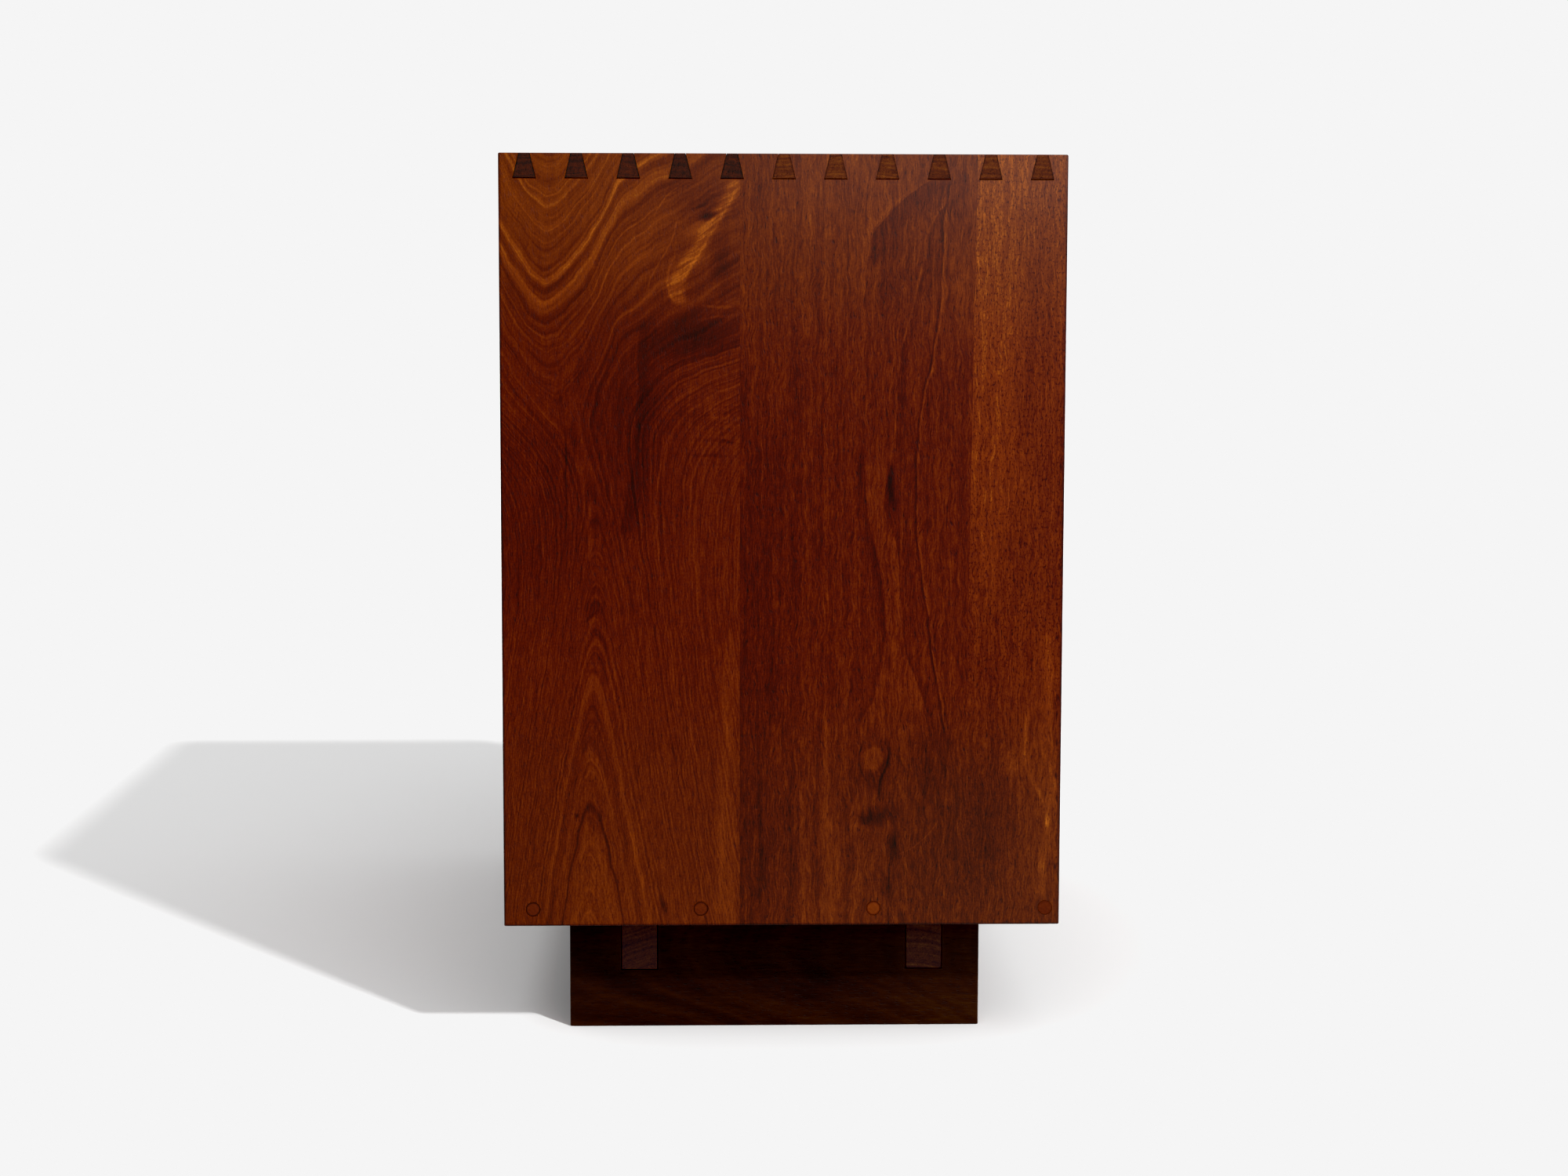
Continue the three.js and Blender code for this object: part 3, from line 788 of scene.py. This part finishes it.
def end_panel_wood(node):
    """The panel's boards: redder in the middle, browner at the top and foot, partly as painted haze, with a
    painted sheen added at the top front corner.
    """
    low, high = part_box(node)
    recipe = Recipe(node + "_wood")
    place = recipe.place()
    width = (high.y - low.y) * 1000
    height = (high.z - low.z) * 1000
    down = high.z * 1000 - place["z"]
    deep = place["x"] - low.x * 1000
    across = high.y * 1000 - place["y"] + deep * 0.4
    tone, holes, streaks = panel_tone(recipe, across, down, deep)
    # painted shade: a thin dark line within a few millimetres of the panel's rear, front and lower edges
    to_edge = recipe.math("MINIMUM", recipe.math("MINIMUM", across, width - across), height - down)
    tone = tone - recipe.ease(to_edge, 2.6, 0.8) * 0.16
    # browner at the top and foot: partly the wood's own hue, partly painted haze of sheen
    brown_and_haze = recipe.curve(down, [(0, 0.7), (110, 0.4), (220, 0.05), (430, 0.05), (560, 0.3), (700, 0.5)])
    brown_and_haze = brown_and_haze + recipe.ease(across, 210, 420) * recipe.ease(down, 470, 600) * 0.25
    color = recipe.blend(recipe.ramp(tone, RED_WALNUT), recipe.ramp(tone, BROWN_WALNUT), brown_and_haze)
    color = recipe.blend(color, (0.5, 0.5, 0.5), recipe.facing("z"), "MULTIPLY")
    # painted sheen: grey added to the colour, strongest at the top front corner and fading downwards and
    # towards the rear
    sheen_down = [(0, 1.0), (28, 0.85), (75, 0.42), (146, 0.13), (216, 0.02)]
    sheen_down += [(500, 0.02), (600, 0.10), (700, 0.14)]
    sheen_forwards = [(0, 0.0), (100, 0.08), (190, 0.26), (260, 0.5), (350, 0.65), (508, 1.0)]
    painted_sheen = recipe.curve(down, sheen_down) * recipe.curve(across, sheen_forwards)
    color = recipe.blend(color, (PAINTED_SHEEN, PAINTED_SHEEN, PAINTED_SHEEN), painted_sheen, "ADD")
    roughness = 0.36 + holes * 0.18 - streaks * 0.10
    return recipe.finish(color, roughness, streaks * 0.3 - holes, 0.00012, GLOSS)


# ---------------------------------------------------------------- metal


def metal(name, bright, dull):
    """Turned screw metal, dulled in patches, with fine scratches."""
    recipe = Recipe(name)
    place = recipe.place()
    x, y, z = place["x"], place["y"], place["z"]
    patches = recipe.ease(recipe.noise(x * 0.35, y * 0.35, z * 0.35, detail=3), -0.12, 0.16)
    scratches = recipe.noise(x * 3.0, y * 9.0, z * 0.9, detail=2)
    color = recipe.blend(dull, bright, patches)
    roughness = 0.48 - patches * 0.16 + scratches * 0.15
    return recipe.finish(color, roughness, scratches, 0.00002, 0.5, metallic=1.0)


# ---------------------------------------------------------------- refined pieces

ARC_STEPS = 16  # round each half of a screw's rim
BACK_SCREW = {"axis": "y", "head_height": 0.0026, "shank_radius": 0.0016}
BASE_SCREW = {"axis": "z", "head_height": 0.0032, "shank_radius": 0.0024}
EASE = 0.0012  # how far the arrises are rounded over
THIN = 0.02  # pieces no higher than this are only eased a little
THIN_EASE = 0.0004


def add_piece(node, mesh, material):
    """A finely made piece that stands in for a CAD node and moves with its body."""
    mesh.set_sharp_from_angle(angle=math.radians(40))
    mesh.materials.append(material)
    piece = bpy.data.objects.new(mesh.name, mesh)
    bpy.context.scene.collection.objects.link(piece)
    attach(piece, body_of_node[node])
    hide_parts(node)
    return piece


def is_arris(edge, low, high):
    """Whether an edge lies on one of the twelve edges of the piece's own box."""
    middle = (edge.verts[0].co + edge.verts[1].co) / 2
    at_limit = [min(abs(middle[i] - low[i]), abs(middle[i] - high[i])) < 1e-5 for i in range(3)]
    return sum(at_limit) >= 2


def refine(node, material, ease):
    """A copy of a CAD node with whole faces and eased arrises, which stands in for it."""
    low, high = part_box(node)
    work = bmesh.new()
    work.from_mesh(nodes[node].data)
    bmesh.ops.remove_doubles(work, verts=work.verts, dist=1e-6)
    bmesh.ops.dissolve_limit(work, angle_limit=math.radians(0.5), verts=work.verts, edges=work.edges)
    arrises = [edge for edge in work.edges if is_arris(edge, low, high)]
    shape = {"offset": ease, "offset_type": "OFFSET", "segments": 3, "profile": 0.5, "clamp_overlap": True}
    bmesh.ops.bevel(work, geom=arrises, affect="EDGES", **shape)
    for face in work.faces:
        face.smooth = True
    mesh = bpy.data.meshes.new("fine_" + node)
    work.to_mesh(mesh)
    work.free()
    piece = add_piece(node, mesh, material)
    weighted = piece.modifiers.new("weighted_normals", "WEIGHTED_NORMAL")
    weighted.keep_sharp = True


def slotted_screw(node, material, axis, head_height, shank_radius):
    """A countersunk screw with a driver slot, on the place of a CAD screw.

    A back screw points to -Y from the rear face and a base screw to +Z from below."""
    low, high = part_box(node)
    center = (low + high) / 2
    head_radius = (high.x - low.x) / 2
    length = getattr(high, axis) - getattr(low, axis)
    slot_half = head_radius * 0.13
    slot_depth = head_height * 0.4
    slot_turn = random.Random(node).uniform(0, math.pi)
    half = ARC_STEPS + 1
    work = bmesh.new()

    def vertex(radius, angle, depth):
        u, v = radius * math.cos(angle + slot_turn), radius * math.sin(angle + slot_turn)
        if axis == "y":
            return work.verts.new((center.x + u, high.y - depth, center.z + v))
        return work.verts.new((center.x + v, center.y + u, low.z + depth))

    def ring(radius, depth):
        """Two arcs, one on each side of the slot."""
        start = math.asin(slot_half / radius)
        steps = [start + (math.pi - 2 * start) * i / ARC_STEPS for i in range(half)]
        return [vertex(radius, angle, depth) for angle in steps + [angle + math.pi for angle in steps]]

    def skirt(upper, lower, open_ended=False):
        """Faces from one ring down to the next, left open between the arcs where the slot runs out."""
        for i in range(len(upper)):
            following = (i + 1) % len(upper)
            if open_ended and following % half == 0:
                continue
            work.faces.new((upper[i], upper[following], lower[following], lower[i]))

    face = ring(head_radius, 0)
    floor = ring(head_radius - (head_radius - shank_radius) * slot_depth / head_height, slot_depth)
    neck = ring(shank_radius, head_height)
    shank = ring(shank_radius, length - 0.002)
    point = vertex(0, 0, length)
    work.faces.new(face[:half])
    work.faces.new(face[half:])
    for first, last in ((0, half - 1), (half, -1)):
        work.faces.new((face[first], face[last], floor[last], floor[first]))
    work.faces.new((floor[0], floor[half - 1], floor[half], floor[-1]))
    skirt(face, floor, open_ended=True)
    skirt(floor, neck)
    skirt(neck, shank)
    for i in range(len(shank)):
        work.faces.new((shank[i], shank[(i + 1) % len(shank)], point))
    bmesh.ops.recalc_face_normals(work, faces=work.faces)
    mesh = bpy.data.meshes.new("fine_" + node)
    work.to_mesh(mesh)
    work.free()
    add_piece(node, mesh, material)


# ---------------------------------------------------------------- the chest

GRAIN = {  # along, across and through each kind of board
    "upright": ("z", "y", "x"),
    "lengthwise": ("x", "y", "z"),
    "front": ("x", "z", "y"),
    "fore_and_aft": ("y", "z", "x"),
}


def kind_of_board(node):
    """Which way a piece's grain runs, as a key of GRAIN."""
    if node in ("left_side", "right_side"):
        return "upright"
    if node in ("top_board", "bottom_board") or node.startswith("base_rail") or "peg" in node:
        return "lengthwise"
    if node.startswith("base_cross") or node.startswith("runner") or node.endswith("_side"):
        return "fore_and_aft"
    if node.endswith("_bottom"):
        return "lengthwise"
    return "front"


def glued_boards(node, draw):
    """The seams and boards of a wide panel, from its front edge to its rear edge."""
    seams = (-175, 23 if node == "top_board" else 39)
    boards = [
        board(draw, node, pith=-220, tone=0.51, end=-0.05),
        board(draw, node, pith=-40, tone=0.47, end=-0.03),
        board(draw, node, pith=170, tone=0.43, end=-0.15),
    ]
    return seams, boards


def veneer_leaves(node, draw):
    """The seams and leaves of the back panel's face veneer, from its lower edge to its upper edge."""
    low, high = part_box(node)
    step = (high.z - low.z) * 1000 / VENEER_LEAVES
    edges = [low.z * 1000 + step * order for order in range(VENEER_LEAVES)]
    leaves = [
        board(draw, node, pith=edge + draw.uniform(0.3, 0.7) * step, tone=draw.uniform(0.42, 0.48))
        for edge in edges
    ]
    return tuple(edges[1:]), leaves


def peg_wood(node):
    """The end grain of a peg, with its glue line round it. Some pegs are lighter than their board."""
    low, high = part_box(node)
    center = (low + high) * 500
    radius = (high.y - low.y) * 500
    recipe = Recipe(node + "_wood")
    place = recipe.place()
    aside = place["y"] - center.y
    above = place["z"] - center.z
    reach = recipe.root(aside * aside + above * above)
    speckle = recipe.noise(aside * 0.5, above * 0.5, place["x"] * 0.03, detail=2)
    tone = speckle * 0.2 + PEG_TONES[node.rpartition("_")[2]]
    rim = recipe.ease(reach, radius - 1.6, radius - 0.5) * PEG_RIMS[node.rpartition("_")[2]]
    color = recipe.ramp(tone - rim, WALNUT)
    return recipe.finish(color, 0.45 + speckle * 0.1, speckle, 0.00005, GLOSS)


def material_for(node):
    """The wood of a piece. A piece's own name is the seed of its figure."""
    low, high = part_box(node)
    slot = slot_of_node[node]
    directions = GRAIN[kind_of_board(node)]
    draw = random.Random(node)
    if node == "left_side":
        return end_panel_wood(node)
    if slot == "peg_walnut":
        return peg_wood(node)
    if node in ("right_side", "top_board"):
        seams, boards = glued_boards(node, draw)
        mark = pin_outlines if node == "top_board" else None
        return wood(node + "_wood", directions, boards, WALNUT, seams, CASE_END_SHADE, mark=mark)
    if node == "back_panel":
        seams, leaves = veneer_leaves(node, draw)
        return wood(node + "_wood", directions, leaves, WALNUT, seams)
    center = 1000 * getattr((low + high) / 2, directions[1])
    boards = [board(draw, node, pith=center + draw.uniform(-50, 50))]
    if slot == "base_walnut":
        # painted light on the faces of the base's cross boards
        mark = painted_base_light if node.startswith("base_cross") else None
        return wood(node + "_wood", directions, boards, SHADED_BASE_WALNUT, (), BASE_END_SHADE, BASE_GLOSS, mark)
    ramp = PALE if slot in ("drawer_ash", "drawer_plywood", "runner_beech") else WALNUT
    return wood(node + "_wood", directions, boards, ramp)


def build():
    """Every CAD node's fine piece, with its own material."""
    brass = metal("worn_brass", srgb(168, 136, 78), srgb(92, 66, 34))
    steel = metal("plain_steel", srgb(150, 148, 144), srgb(84, 78, 72))
    for node in sorted(nodes):
        if node.startswith("back_screw"):
            slotted_screw(node, brass, **BACK_SCREW)
        elif node.startswith("base_screw"):
            slotted_screw(node, steel, **BASE_SCREW)
        else:
            low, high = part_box(node)
            refine(node, material_for(node), EASE if high.z - low.z > THIN else THIN_EASE)


add_camera()
add_lights()
add_sky()
add_floor()
build()

set_tone()
